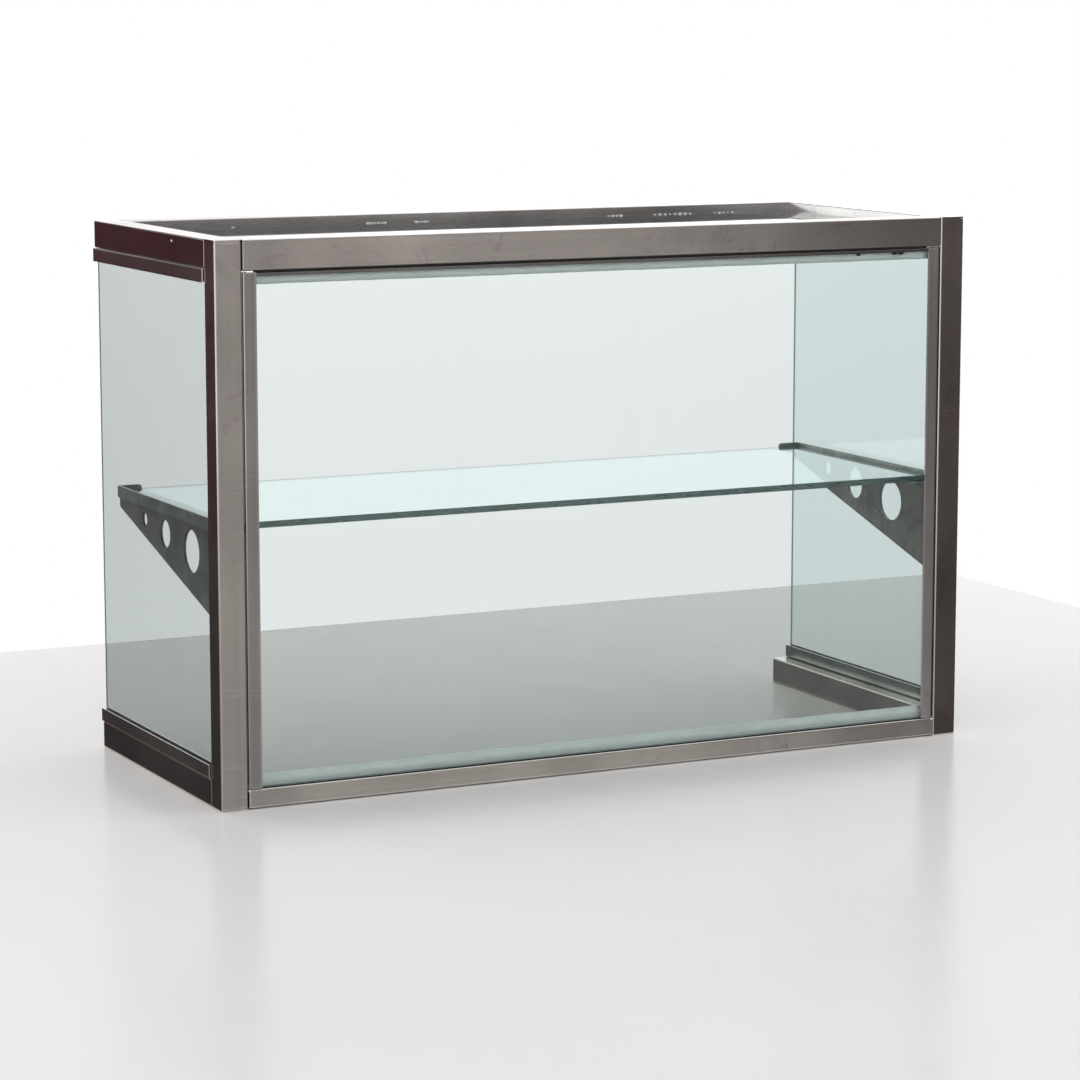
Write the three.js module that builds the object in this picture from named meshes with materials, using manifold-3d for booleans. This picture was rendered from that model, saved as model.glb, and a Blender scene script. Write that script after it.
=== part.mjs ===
// Glass display showcase: a counter-top case in brushed steel tube, open at the back and at the
// bottom, with fixed panes in front, at both sides and on top, and one loose glass shelf.
//
// Millimetres. +X runs along the width, +Y from the front to the open back, +Z up.
// The origin is at the bottom, in the middle of the case.

import * as THREE from 'three';
import { mergeVertices } from 'three/addons/utils/BufferGeometryUtils.js';
import Module from 'manifold-3d';

const wasm = await Module();
wasm.setup();

// ---- Driving dimensions -------------------------------------------------------------------

const WIDTH = 910;              // over the two posts
const DEPTH = 370;
const HEIGHT = 600;

const TUBE = 30;                // square tube of the posts and side rails
const WALL = 1.5;
const TUBE_CORNER = 1.6;        // outer corner radius of every tube
const BORE_CORNER = 0.4;        // corner radius inside it
const TOP_FRONT_RAIL = 32.5;    // height of the front top rail
const BASE_FRONT_RAIL = 20;     // height of the front base rail
const BASE_FRONT_LIFT = 1.5;    // the front base rail clears the counter

const SEAM = 0.3;               // gap left between pieces that touch
const RAIL_GAP = 1;             // open joint between a post and the front rails
const END_PLATE = 2;            // plate that closes a tube's end
const SPIGOT = 10;              // how far the plate's plug reaches into the tube
const SPIGOT_CORNER = 1.5;

const GLASS = 6;                // thickness of every pane
const SHELF_GLASS = 7;
const CHANNEL_WALL = 1.5;       // folded U channels that hold the panes
const CHANNEL_WIDTH = 14;
const CHANNEL_LEG = 15;
const CHANNEL_CORNER = 2;
const CHANNEL_PROUD = 2;        // the side channels stand out from the rails
const CHANNEL_SETBACK = 2;      // from the post's rear face to the side channel's front end
const SIDE_PANE_SETBACK = 1;    // from the post's rear face to the side pane's front edge
const SIDE_PANE_SHORT = 4;      // the side pane's free rear edge stops short of the rails

const FRONT_CHANNEL_WIDTH = 11; // the upright channels beside the posts are narrower
const FRONT_CHANNEL_REAR_LEG = 8;   // and their legs behind the pane are shorter
const FRONT_CHANNEL_SETBACK = 0.4;  // behind the posts' faces
const FRONT_CHANNEL_GAP = 1.2;  // open joint between a post and its channel
const FRONT_CHANNEL_FOOT = 0.7; // above the base rail
const FRONT_CHANNEL_HEAD = 1.5; // below the top rail
const TOP_CHANNEL_SHORT = 3.4;  // leg of the top channel in front of the pane
const TOP_CHANNEL_LONG = 8;     // leg behind it
const TOP_CHANNEL_RECESS = 0.6; // behind the faces of the upright channels
const TOP_CHANNEL_DROP = 2.2;   // joint between the top rail and the channel
const PACKING_INSET = { front: 3, rear: 1 };    // of the strip that packs it
const PACKING_GAP = 0.2;
const TOP_CHANNEL_CORNER = 1;

const GASKET_GAP = 0.15;        // play on each face of the rubber U
const GASKET_CORNER = 0.6;
const GASKET_SHY = 1;           // it stops this far inside its channel's ends and lips
const SETTING_GAP = 0.2;        // above and below the strip that the front pane stands on
const SETTING_INSET = 0.5;      // the strip is narrower than the pane on each side

const BEAD_GAP = 0.1;           // between the sealant and the pane it seals
const BEAD_LIP = 0.6;           // thickness of the top bead's lower edge
const BEAD_TOP_DROP = 5;        // sealant below the top channel's long leg
const BEAD_BASE_HEIGHT = 16;    // sealant above the base rail
const BEAD_BASE_FOOT = 7;       // its width on the base rail
const BEAD_BASE_LIP = 0.8;      // its thickness at the top
const BEAD_BASE_HEEL = 1;       // height of the foot's rear edge
const BEAD_WAIST = { out: 0.45, up: 0.3 };  // hollow of its slope, as shares of width and height

const PANE_RECESS = 10.5;       // top pane below the frame's top
const LEDGE_WIDTH = 12;         // flat bar under the top pane
const LEDGE_THICK = 3;
const BEDDING = 1;              // tape between the ledge and the top pane
const TOP_PANE_GAP = 1.5;       // round the top pane, filled with sealant
const TAPE_SHY = 3;             // the tape is narrower than the ledge
const TAPE_GAP = 0.1;           // play above and below it
const TOP_SEALANT_GAP = 0.2;    // play on each side of it
const TOP_SEALANT_LIFT = 0.8;   // its lower face above the pane's
const TOP_SEALANT_SHY = 0.2;    // its upper face below the pane's
const RING_CORNER = 0.5;

const SHELF_TOP = 300.2;        // upper face of the shelf
const SHELF_FRONT = 40;         // from the case's front to the shelf's front edge
const BRACKET_INSET = 15.5;     // from the case's side to the bracket's outer face
const BRACKET_REAR = 340;       // from the case's front to the bracket's rear end
const BRACKET_THICK = 2.5;
const BRACKET_FOLD = 1.5;       // outer radius of the angle's fold
const BRACKET_STOP_CORNER = 3;  // free corner of the stop at the rear
const CHAMFER = 0.3;            // share of a radius that stands for its round in two edges
const SHELF_GAP = 0.2;          // between the shelf and the angle, and the angle and its gusset
const SHELF_PLAY = 1;           // at the shelf's sides and rear
const BRACKET_LEDGE = 28;       // width of the angle's flat leg
const BRACKET_LIP = 14;         // height of the angle's upright leg
const GUSSET_INSET = 2.6;       // from the angle's outer face to the gusset
const GUSSET_THICK = 3;
const GUSSET_NOSE = 10;         // height of the gusset's rear edge
const GUSSET_SLOPE = 0.292;     // rise of its lower edge for each millimetre to the rear

// Lightening holes in a gusset: distance from the case's front, and diameter.
// Their upper edges lie on one line below the angle.
const GUSSET_HOLES = [
  { from_front: 116, diameter: 47 },
  { from_front: 196, diameter: 31 },
  { from_front: 260, diameter: 16 },
];
const GUSSET_HOLE_MARGIN = 6;

const ARC_STEPS = 4;            // edges that stand for a quarter round
const HOLE_ARC_STEPS = 20;      // and for half a gusset's hole

// ---- Places worked out from them ----------------------------------------------------------

const SIDE = WIDTH / 2;
const FRONT = -DEPTH / 2;
const REAR = DEPTH / 2;
const POST_BACK = FRONT + TUBE;
const INNER_SIDE = SIDE - TUBE;
const RAIL_UNDER = HEIGHT - TUBE;
const FRONT_RAIL_UNDER = HEIGHT - TOP_FRONT_RAIL;
const BASE_FRONT_TOP = BASE_FRONT_LIFT + BASE_FRONT_RAIL;

// Clear space on each side of a pane inside a channel, and the rubber U that fills it.
const slotOf = (width) => (width - 2 * CHANNEL_WALL - GLASS) / 2;
const rubberOf = (width) => slotOf(width) - 2 * GASKET_GAP;
const seatOf = (width) => CHANNEL_WALL + rubberOf(width) + 2 * GASKET_GAP;
const SIDES = [
  { name: 'left', sign: -1 },
  { name: 'right', sign: 1 },
];

// ---- Finishes -----------------------------------------------------------------------------

const finish = (color, roughness, metalness, more = {}) =>
  new THREE.MeshStandardMaterial({ color, roughness, metalness, ...more });

const brushedSteel = () => finish(0x8f8883, 0.34, 1);
const darkSteel = () => finish(0x6f6a67, 0.38, 1);
const rubber = () => finish(0x17191a, 0.8, 0);
const clearSealant = () => finish(0xb7c9c0, 0.35, 0, { transparent: true, opacity: 0.6 });
const tape = () => finish(0x8d9490, 0.6, 0);
const clearGlass = () => finish(0xcfe3de, 0.03, 0, { transparent: true, opacity: 0.3 });

// ---- Sections and solids ------------------------------------------------------------------

// A rectangle with rounded corners, centred on (x, y).
function roundedRectangle(target, x, y, width, height, radius) {
  const right = x + width / 2;
  const left = x - width / 2;
  const top = y + height / 2;
  const bottom = y - height / 2;
  target.moveTo(right, bottom + radius);
  target.lineTo(right, top - radius);
  target.absarc(right - radius, top - radius, radius, 0, Math.PI / 2);
  target.absarc(left + radius, top - radius, radius, Math.PI / 2, Math.PI);
  target.absarc(left + radius, bottom + radius, radius, Math.PI, 1.5 * Math.PI);
  target.absarc(right - radius, bottom + radius, radius, 1.5 * Math.PI, 2 * Math.PI);
  return target;
}

function polygon(points) {
  return new THREE.Shape(points.map(([x, y]) => new THREE.Vector2(x, y)));
}

// A frame of rectangular section round an opening, seen from above.
function ringSection(halfWidth, halfDepth, breadth) {
  const section = roundedRectangle(
    new THREE.Shape(), 0, 0, 2 * halfWidth, 2 * halfDepth, RING_CORNER);
  const inside = roundedRectangle(
    new THREE.Path(), 0, 0, 2 * (halfWidth - breadth), 2 * (halfDepth - breadth), RING_CORNER);
  section.holes.push(inside);
  return section;
}

// Wall of a rectangular tube, its corner at (0, 0).
function tubeSection(width, height) {
  const section = roundedRectangle(
    new THREE.Shape(), width / 2, height / 2, width, height, TUBE_CORNER);
  const bore = roundedRectangle(
    new THREE.Path(), width / 2, height / 2, width - 2 * WALL, height - 2 * WALL, BORE_CORNER);
  section.holes.push(bore);
  return section;
}

// A folded U: the web lies on y = 0, from x = 0 to width, and the legs rise to +Y.
// The fold's outer corners are rounded. The two legs may differ in height.
function channelSection(width, leg, wall, corner, farLeg = leg) {
  const section = new THREE.Shape();
  section.moveTo(0, leg);
  section.lineTo(0, corner);
  section.absarc(corner, corner, corner, Math.PI, 1.5 * Math.PI);
  section.absarc(width - corner, corner, corner, 1.5 * Math.PI, 2 * Math.PI);
  section.lineTo(width, farLeg);
  section.lineTo(width - wall, farLeg);
  section.lineTo(width - wall, wall);
  section.lineTo(wall, wall);
  section.lineTo(wall, leg);
  return section;
}

function sweep(section, length, arcSteps = ARC_STEPS) {
  return new THREE.ExtrudeGeometry(section, {
    depth: length, bevelEnabled: false, curveSegments: arcSteps,
  });
}

function toSolid(geometry) {
  const bare = geometry.clone();
  bare.deleteAttribute('normal');
  bare.deleteAttribute('uv');
  const merged = mergeVertices(bare, 1e-4);
  return new wasm.Manifold(new wasm.Mesh({
    numProp: 3,
    vertProperties: new Float32Array(merged.attributes.position.array),
    triVerts: new Uint32Array(merged.index.array),
  }));
}

function toGeometry(solid) {
  const mesh = solid.getMesh();
  const geometry = new THREE.BufferGeometry();
  geometry.setAttribute('position', new THREE.BufferAttribute(mesh.vertProperties, 3));
  geometry.setIndex(new THREE.BufferAttribute(mesh.triVerts, 1));
  geometry.computeVertexNormals();
  return geometry;
}

function joined(first, second) {
  return toGeometry(toSolid(first).add(toSolid(second)));
}

// ---- Placing ------------------------------------------------------------------------------

const showcase = new THREE.Group();

// Turns that carry a section's own x and y, and the way it is swept, onto the case's axes.
const QUARTER = Math.PI / 2;
const UPWARDS = [0, 0, 0];                 // section in X and Y, swept to +Z
const ACROSS = [QUARTER, QUARTER, 0];      // section in Y and Z, swept to +X
const FORWARDS = [QUARTER, 0, 0];          // section in X and Z, swept to -Y

function place(name, geometry, material, turn, x, y, z) {
  const mesh = new THREE.Mesh(geometry, material);
  mesh.name = name;
  mesh.rotation.set(...turn);
  mesh.position.set(x, y, z);
  showcase.add(mesh);
}

// A plain bar or pane between two corners.
function block(name, material, low, high) {
  const size = high.map((value, i) => value - low[i]);
  const middle = high.map((value, i) => (value + low[i]) / 2);
  place(name, new THREE.BoxGeometry(...size), material, UPWARDS, ...middle);
}

// A plate that closes a tube's end, with a plug that fits the bore.
// The plate lies on z = 0 and the plug rises to +Z, both with their corner at (0, 0).
function endPlateGeometry() {
  const plate = sweep(
    roundedRectangle(new THREE.Shape(), TUBE / 2, TUBE / 2, TUBE, TUBE, TUBE_CORNER), END_PLATE);
  const plugSide = TUBE - 2 * WALL - 2 * SEAM;
  const plug = sweep(
    roundedRectangle(new THREE.Shape(), TUBE / 2, TUBE / 2, plugSide, plugSide, SPIGOT_CORNER),
    END_PLATE + SPIGOT);
  return joined(plate, plug);
}

// ---- Frame --------------------------------------------------------------------------------

function makePosts() {
  const length = HEIGHT - 2 * (END_PLATE + SEAM);
  for (const { name, sign } of SIDES) {
    const x = sign < 0 ? -SIDE : INNER_SIDE;
    place(`post_${name}`, sweep(tubeSection(TUBE, TUBE), length), brushedSteel(), UPWARDS,
      x, FRONT, END_PLATE + SEAM);
    place(`post_foot_${name}`, endPlateGeometry(), brushedSteel(), UPWARDS, x, FRONT, 0);
    place(`post_cap_${name}`, endPlateGeometry(), brushedSteel(), [Math.PI, 0, 0],
      x, POST_BACK, HEIGHT);
  }
}

function makeSideRails() {
  const length = DEPTH - TUBE - 2 * SEAM - END_PLATE;
  const tubeEnd = REAR - END_PLATE - SEAM;
  const levels = [
    { rail: 'top', z: RAIL_UNDER },
    { rail: 'base', z: 0 },
  ];
  for (const { rail, z } of levels) {
    for (const { name, sign } of SIDES) {
      const x = sign < 0 ? -SIDE : INNER_SIDE;
      place(`${rail}_rail_${name}`, sweep(tubeSection(TUBE, TUBE), length), brushedSteel(),
        FORWARDS, x, tubeEnd, z);
      place(`${rail}_rail_end_${name}`, endPlateGeometry(), brushedSteel(), FORWARDS, x, REAR, z);
    }
  }
}

function makeCrossRails() {
  const frontHalf = INNER_SIDE - RAIL_GAP;
  const rearHalf = INNER_SIDE - SEAM;
  place('top_rail_front', sweep(tubeSection(TUBE, TOP_FRONT_RAIL), 2 * frontHalf),
    brushedSteel(), ACROSS, -frontHalf, FRONT, FRONT_RAIL_UNDER);
  place('top_rail_rear', sweep(tubeSection(TUBE, TUBE), 2 * rearHalf), brushedSteel(),
    ACROSS, -rearHalf, REAR - TUBE, RAIL_UNDER);
  place('base_rail_front', sweep(tubeSection(TUBE, BASE_FRONT_RAIL), 2 * frontHalf),
    brushedSteel(), ACROSS, -frontHalf, FRONT, BASE_FRONT_LIFT);
}

// ---- Side glazing -------------------------------------------------------------------------

const SIDE_CHANNEL_FRONT = POST_BACK + CHANNEL_SETBACK;
const SIDE_PANE_OUTER = SIDE + CHANNEL_PROUD - CHANNEL_WALL - slotOf(CHANNEL_WIDTH);
const SIDE_CHANNELS = [
  { level: 'top', web: RAIL_UNDER - SEAM, opens: -1 },
  { level: 'base', web: TUBE + SEAM, opens: 1 },
];

// A rubber U for a channel of the given width and legs.
function gasketSection(width, leg = CHANNEL_LEG, farLeg = leg) {
  const wall = rubberOf(width);
  const shorter = CHANNEL_WALL + GASKET_SHY;
  return channelSection(
    GLASS + 2 * (wall + GASKET_GAP), leg - shorter, wall, GASKET_CORNER, farLeg - shorter);
}

function makeSideGlazing() {
  const length = REAR - SIDE_CHANNEL_FRONT;
  for (const { name, sign } of SIDES) {
    const outer = sign * (SIDE + CHANNEL_PROUD);
    for (const { level, web, opens } of SIDE_CHANNELS) {
      // An upward channel is swept forwards from the rear; a downward one is that, half turned.
      const turn = opens > 0 ? FORWARDS : [-QUARTER, 0, 0];
      const y = opens > 0 ? REAR : SIDE_CHANNEL_FRONT;
      const x = Math.min(outer, outer - sign * CHANNEL_WIDTH);
      const section = channelSection(CHANNEL_WIDTH, CHANNEL_LEG, CHANNEL_WALL, CHANNEL_CORNER);
      place(`channel_${level}_${name}`, sweep(section, length), brushedSteel(), turn, x, y, web);
      const rubberLength = length - 2 * GASKET_SHY;
      place(`gasket_${level}_${name}`, sweep(gasketSection(CHANNEL_WIDTH), rubberLength),
        rubber(), turn, x + CHANNEL_WALL + GASKET_GAP, y - opens * GASKET_SHY,
        web + opens * (CHANNEL_WALL + GASKET_GAP));
    }
    const faces = [sign * SIDE_PANE_OUTER, sign * (SIDE_PANE_OUTER - GLASS)];
    const seat = SEAM + seatOf(CHANNEL_WIDTH);
    block(`glass_${name}`, clearGlass(),
      [Math.min(...faces), POST_BACK + SIDE_PANE_SETBACK, TUBE + seat],
      [Math.max(...faces), REAR - SIDE_PANE_SHORT, RAIL_UNDER - seat]);
  }
}

// ---- Front glazing ------------------------------------------------------------------------

const FRONT_CHANNEL_FACE = FRONT + FRONT_CHANNEL_SETBACK;
const FRONT_PANE_FACE = FRONT_CHANNEL_FACE + CHANNEL_WALL + slotOf(FRONT_CHANNEL_WIDTH);
const FRONT_PANE_BACK = FRONT_PANE_FACE + GLASS;
const FRONT_CHANNEL_BACK = FRONT_CHANNEL_FACE + FRONT_CHANNEL_WIDTH;
const FRONT_CHANNEL_WEB = INNER_SIDE - FRONT_CHANNEL_GAP;
const FRONT_CHANNEL_LOW = BASE_FRONT_TOP + FRONT_CHANNEL_FOOT;
const FRONT_CHANNEL_HIGH = FRONT_RAIL_UNDER - FRONT_CHANNEL_HEAD;
const DAYLIGHT_HALF = FRONT_CHANNEL_WEB - CHANNEL_LEG;
const TOP_CHANNEL_HALF = DAYLIGHT_HALF - SEAM;
const BEAD_HALF = FRONT_CHANNEL_WEB - FRONT_CHANNEL_REAR_LEG - SEAM;
const FRONT_PANE_HALF = FRONT_CHANNEL_WEB - seatOf(FRONT_CHANNEL_WIDTH);
const TOP_CHANNEL_TOP = FRONT_RAIL_UNDER - TOP_CHANNEL_DROP;
const FRONT_PANE_LOW = BASE_FRONT_TOP + 3 * SETTING_GAP + SETTING_INSET;
const FRONT_PANE_HIGH = TOP_CHANNEL_TOP - CHANNEL_WALL - SEAM;

function makeFrontChannels() {
  const length = FRONT_CHANNEL_HIGH - FRONT_CHANNEL_LOW;
  for (const { name, sign } of SIDES) {
    // The U opens towards the middle of the case.
    const turn = [0, 0, sign * QUARTER];
    const y = sign < 0 ? FRONT_CHANNEL_BACK : FRONT_CHANNEL_FACE;
    const legs = [CHANNEL_LEG, FRONT_CHANNEL_REAR_LEG];
    if (sign < 0) legs.reverse();
    const [near, far] = legs;
    const section = channelSection(
      FRONT_CHANNEL_WIDTH, near, CHANNEL_WALL, CHANNEL_CORNER, far);
    place(`channel_front_${name}`, sweep(section, length), brushedSteel(), turn,
      sign * FRONT_CHANNEL_WEB, y, FRONT_CHANNEL_LOW);
    const inset = CHANNEL_WALL + GASKET_GAP;
    const rubberU = sweep(
      gasketSection(FRONT_CHANNEL_WIDTH, near, far), length - 2 * GASKET_SHY);
    place(`gasket_front_${name}`, rubberU, rubber(), turn, sign * (FRONT_CHANNEL_WEB - inset),
      y + sign * inset, FRONT_CHANNEL_LOW + GASKET_SHY);
  }
}

function makeFrontTopChannel() {
  // Opens downwards: the short leg is in front of the pane and the long leg behind it.
  const width = FRONT_CHANNEL_WIDTH - TOP_CHANNEL_RECESS;
  const section = channelSection(
    width, TOP_CHANNEL_SHORT, CHANNEL_WALL, TOP_CHANNEL_CORNER, TOP_CHANNEL_LONG);
  const downwards = section.extractPoints(ARC_STEPS).shape.map((point) => [point.x, -point.y]);
  place('channel_front_top', sweep(polygon(downwards), 2 * TOP_CHANNEL_HALF), darkSteel(),
    ACROSS, -TOP_CHANNEL_HALF, FRONT_CHANNEL_FACE + TOP_CHANNEL_RECESS, TOP_CHANNEL_TOP);
  block('front_packing_strip', rubber(),
    [-TOP_CHANNEL_HALF, FRONT_CHANNEL_FACE + PACKING_INSET.front, TOP_CHANNEL_TOP + PACKING_GAP],
    [TOP_CHANNEL_HALF, FRONT_CHANNEL_BACK - PACKING_INSET.rear, FRONT_RAIL_UNDER - PACKING_GAP]);
}

function makeFrontSeals() {
  // The upper bead fills the channel behind the pane, and hangs below its long leg.
  const glassSide = FRONT_PANE_BACK + BEAD_GAP;
  const legSide = FRONT_CHANNEL_BACK - CHANNEL_WALL - 2 * BEAD_GAP;
  const legEnd = TOP_CHANNEL_TOP - TOP_CHANNEL_LONG;
  const topBead = polygon([
    [glassSide, legEnd - BEAD_TOP_DROP],
    [glassSide + BEAD_LIP, legEnd - BEAD_TOP_DROP],
    [FRONT_CHANNEL_BACK - SEAM, legEnd - 2 * BEAD_LIP],
    [FRONT_CHANNEL_BACK - BEAD_LIP, legEnd - SEAM],
    [legSide, legEnd - 2 * BEAD_GAP],
    [legSide, FRONT_PANE_HIGH - BEAD_LIP],
    [glassSide, FRONT_PANE_HIGH - BEAD_LIP],
  ]);
  place('front_seal_top', sweep(topBead, 2 * BEAD_HALF), clearSealant(), ACROSS,
    -BEAD_HALF, 0, 0);

  // The lower bead leans on the pane and stands on the base rail.
  const foot = BASE_FRONT_TOP + 2 * BEAD_GAP;
  const baseBead = polygon([
    [glassSide, foot],
    [glassSide + BEAD_BASE_FOOT, foot],
    [glassSide + BEAD_BASE_FOOT, foot + BEAD_BASE_HEEL],
    [glassSide + BEAD_WAIST.out * BEAD_BASE_FOOT, foot + BEAD_WAIST.up * BEAD_BASE_HEIGHT],
    [glassSide + BEAD_BASE_LIP, foot + BEAD_BASE_HEIGHT],
    [glassSide, foot + BEAD_BASE_HEIGHT],
  ]);
  place('front_seal_base', sweep(baseBead, 2 * BEAD_HALF), clearSealant(), ACROSS,
    -BEAD_HALF, 0, 0);

  block('front_setting_strip', rubber(),
    [-BEAD_HALF, FRONT_PANE_FACE + SETTING_INSET, BASE_FRONT_TOP + SETTING_GAP],
    [BEAD_HALF, FRONT_PANE_BACK - SETTING_INSET, FRONT_PANE_LOW - SETTING_GAP]);
}

function makeFrontPane() {
  block('glass_front', clearGlass(),
    [-FRONT_PANE_HALF, FRONT_PANE_FACE, FRONT_PANE_LOW],
    [FRONT_PANE_HALF, FRONT_PANE_BACK, FRONT_PANE_HIGH]);
}

// ---- Top glazing --------------------------------------------------------------------------

function makeTopGlazing() {
  const paneTop = HEIGHT - PANE_RECESS;
  const paneUnder = paneTop - GLASS;
  const ledgeTop = paneUnder - BEDDING - 2 * TAPE_GAP;
  const ledgeUnder = ledgeTop - LEDGE_THICK;
  const halfDepth = REAR - TUBE;
  const ledgeHalf = INNER_SIDE - LEDGE_WIDTH - 2 * SEAM;

  for (const { name, sign } of SIDES) {
    const edges = [sign * (INNER_SIDE - SEAM), sign * (INNER_SIDE - SEAM - LEDGE_WIDTH)];
    block(`top_ledge_${name}`, brushedSteel(),
      [Math.min(...edges), -halfDepth + SEAM, ledgeUnder],
      [Math.max(...edges), halfDepth - SEAM, ledgeTop]);
  }
  for (const [name, sign] of [['front', -1], ['rear', 1]]) {
    const edges = [sign * (halfDepth - SEAM), sign * (halfDepth - SEAM - LEDGE_WIDTH)];
    block(`top_ledge_${name}`, brushedSteel(),
      [-ledgeHalf, Math.min(...edges), ledgeUnder],
      [ledgeHalf, Math.max(...edges), ledgeTop]);
  }
  const tapeRing = ringSection(
    INNER_SIDE - TOP_PANE_GAP, halfDepth - TOP_PANE_GAP, LEDGE_WIDTH - TAPE_SHY);
  place('top_bedding_tape', sweep(tapeRing, BEDDING), tape(), UPWARDS,
    0, 0, ledgeTop + TAPE_GAP);
  const sealantRing = ringSection(
    INNER_SIDE - TOP_SEALANT_GAP, halfDepth - TOP_SEALANT_GAP,
    TOP_PANE_GAP - 2 * TOP_SEALANT_GAP);
  place('top_sealant', sweep(sealantRing, GLASS - TOP_SEALANT_LIFT - TOP_SEALANT_SHY),
    clearSealant(), UPWARDS, 0, 0, paneUnder + TOP_SEALANT_LIFT);
  block('glass_top', clearGlass(),
    [-INNER_SIDE + TOP_PANE_GAP, -halfDepth + TOP_PANE_GAP, paneUnder],
    [INNER_SIDE - TOP_PANE_GAP, halfDepth - TOP_PANE_GAP, paneTop]);
}

// ---- Shelf and its brackets ---------------------------------------------------------------

const SHELF_UNDER = SHELF_TOP - SHELF_GLASS;
const ANGLE_TOP = SHELF_UNDER - SHELF_GAP;  // upper face of the angle's flat leg
const ANGLE_UNDER = ANGLE_TOP - BRACKET_THICK;
const ANGLE_REAR = FRONT + BRACKET_REAR;
const ANGLE_OUTER = SIDE - BRACKET_INSET;

// An angle with its upright leg outside, and a rear end that is folded up as a stop.
function angleGeometry(sign) {
  const lipTop = ANGLE_UNDER + BRACKET_LIP;
  const inner = ANGLE_OUTER - BRACKET_LEDGE;
  const mirrored = (points) => polygon(points.map(([x, z]) => [sign * x, z]));
  const angle = sweep(mirrored([
    [inner, ANGLE_UNDER],
    [ANGLE_OUTER - BRACKET_FOLD, ANGLE_UNDER],
    [ANGLE_OUTER - CHAMFER * BRACKET_FOLD, ANGLE_UNDER + CHAMFER * BRACKET_FOLD],
    [ANGLE_OUTER, ANGLE_UNDER + BRACKET_FOLD],
    [ANGLE_OUTER, lipTop],
    [ANGLE_OUTER - BRACKET_THICK, lipTop],
    [ANGLE_OUTER - BRACKET_THICK, ANGLE_TOP],
    [inner, ANGLE_TOP],
  ]), ANGLE_REAR - POST_BACK - SEAM);
  const stop = sweep(mirrored([
    [inner, ANGLE_UNDER],
    [ANGLE_OUTER - BRACKET_FOLD, ANGLE_UNDER],
    [ANGLE_OUTER - BRACKET_FOLD, lipTop],
    [inner + BRACKET_STOP_CORNER, lipTop],
    [inner + CHAMFER * BRACKET_STOP_CORNER, lipTop - CHAMFER * BRACKET_STOP_CORNER],
    [inner, lipTop - BRACKET_STOP_CORNER],
  ]), BRACKET_THICK);
  return joined(angle, stop);
}

// A sloping plate under the angle, with three lightening holes. Drawn in Y and Z.
function gussetSection() {
  const top = ANGLE_UNDER - SHELF_GAP;
  const foot = POST_BACK + SEAM;
  const nose = top - GUSSET_NOSE;
  const section = polygon([
    [foot, top],
    [ANGLE_REAR, top],
    [ANGLE_REAR, nose],
    [foot, nose - GUSSET_SLOPE * (ANGLE_REAR - foot)],
  ]);
  for (const { from_front, diameter } of GUSSET_HOLES) {
    const hole = new THREE.Path();
    hole.absarc(FRONT + from_front, top - GUSSET_HOLE_MARGIN - diameter / 2, diameter / 2,
      0, 2 * Math.PI);
    section.holes.push(hole);
  }
  return section;
}

function makeBrackets() {
  for (const { name, sign } of SIDES) {
    place(`bracket_angle_${name}`, angleGeometry(sign), darkSteel(), FORWARDS, 0, ANGLE_REAR, 0);
    const outer = ANGLE_OUTER - GUSSET_INSET;
    const x = sign < 0 ? -outer : outer - GUSSET_THICK;
    place(`bracket_gusset_${name}`, sweep(gussetSection(), GUSSET_THICK, HOLE_ARC_STEPS), darkSteel(),
      ACROSS, x, 0, 0);
  }
}

function makeShelf() {
  const half = ANGLE_OUTER - BRACKET_THICK - SHELF_PLAY;
  block('glass_shelf', clearGlass(),
    [-half, FRONT + SHELF_FRONT, SHELF_UNDER],
    [half, ANGLE_REAR - BRACKET_THICK - SHELF_PLAY, SHELF_TOP]);
}

makePosts();
makeSideRails();
makeCrossRails();
makeSideGlazing();
makeFrontChannels();
makeFrontTopChannel();
makeFrontSeals();
makeFrontPane();
makeTopGlazing();
makeBrackets();
makeShelf();

export default showcase;
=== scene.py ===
"""The looks of the glass display showcase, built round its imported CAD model.

Metres, in the CAD's own frame: +X to the right, +Y to the open back, +Z up. Colours are
linear. A noise is given as its scale in cells per metre, detail, roughness and distortion,
and a relief as its depth and strength.
"""

import math

import bmesh
import bpy
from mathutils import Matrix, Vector, noise


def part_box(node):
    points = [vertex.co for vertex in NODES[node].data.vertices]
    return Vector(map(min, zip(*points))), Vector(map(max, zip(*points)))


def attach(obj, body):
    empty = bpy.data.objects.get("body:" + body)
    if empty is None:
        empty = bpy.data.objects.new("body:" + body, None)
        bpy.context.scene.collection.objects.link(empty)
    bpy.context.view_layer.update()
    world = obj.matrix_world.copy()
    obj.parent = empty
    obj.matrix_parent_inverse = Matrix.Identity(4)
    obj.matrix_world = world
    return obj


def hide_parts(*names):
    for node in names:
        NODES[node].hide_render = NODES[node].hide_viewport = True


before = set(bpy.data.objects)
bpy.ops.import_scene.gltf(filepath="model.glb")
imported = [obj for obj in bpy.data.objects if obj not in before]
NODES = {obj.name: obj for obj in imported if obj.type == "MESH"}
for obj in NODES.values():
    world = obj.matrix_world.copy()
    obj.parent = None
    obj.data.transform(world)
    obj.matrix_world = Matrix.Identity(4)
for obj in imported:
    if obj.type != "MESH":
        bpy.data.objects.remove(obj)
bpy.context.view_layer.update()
MM = 0.001
X, Y, Z = 0, 1, 2
SIDES = (("left", -1), ("right", 1))
NOISE_CORE = (0.3, 0.7)                     # where most values of a noise lie
NOISE_MIDDLE = 0.5

# ---- Camera and floor ---------------------------------------------------------------------

CAMERA_AZIMUTH = math.radians(26.35)        # round to the case's left, from straight on
CAMERA_DROP = math.radians(8.77)            # how far it looks down
CAMERA_DISTANCE = 3.99
CAMERA_LENS = 116.8
CAMERA_SENSOR = 36.0
CAMERA_AIM = Vector((0.001, -0.016, 0.2355))

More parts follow.
